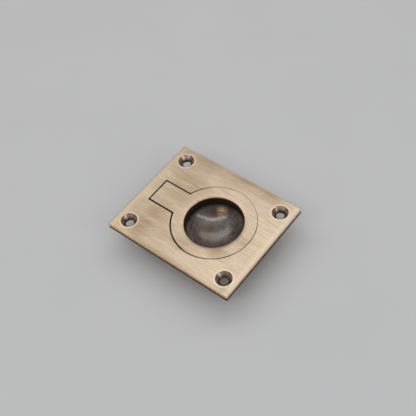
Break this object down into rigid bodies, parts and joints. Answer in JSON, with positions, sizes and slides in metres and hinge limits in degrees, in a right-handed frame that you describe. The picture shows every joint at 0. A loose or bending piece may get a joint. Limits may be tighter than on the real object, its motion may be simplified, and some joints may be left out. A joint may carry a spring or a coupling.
{
  "type": "ring pull handle",
  "caption": "Flush ring pull: rectangular cast plate with countersunk screw holes and a dished cup, and a ring on a hinged tab that folds flat into its seat.",
  "frame": {"origin": "middle of the plate's back face, in the middle of the screw holes", "axes": "+Z out of the front face, +X along the plate from the hinge towards the ring, +Y across it, along the hinge pin"},
  "size_m": [0.0636, 0.052, 0.0135],
  "materials": {
    "plate_brass": "brushed antique brass, dark patina left in the recesses",
    "ring_brass": "brushed antique brass, dark patina on the inner walls",
    "pin_steel": "drawn wire"
  },
  "bodies": {
    "plate": {"backplate": "plate_brass", "hinge_pin": "pin_steel"},
    "ring": {"pull_ring": "ring_brass"}
  },
  "joints": [
    {"name": "ring_hinge", "type": "hinge", "parent": "plate", "child": "ring", "pos_m": [-0.0215, 0, 0.00125], "axis": [0, -1, 0], "range_deg": [0, 90]}
  ]
}
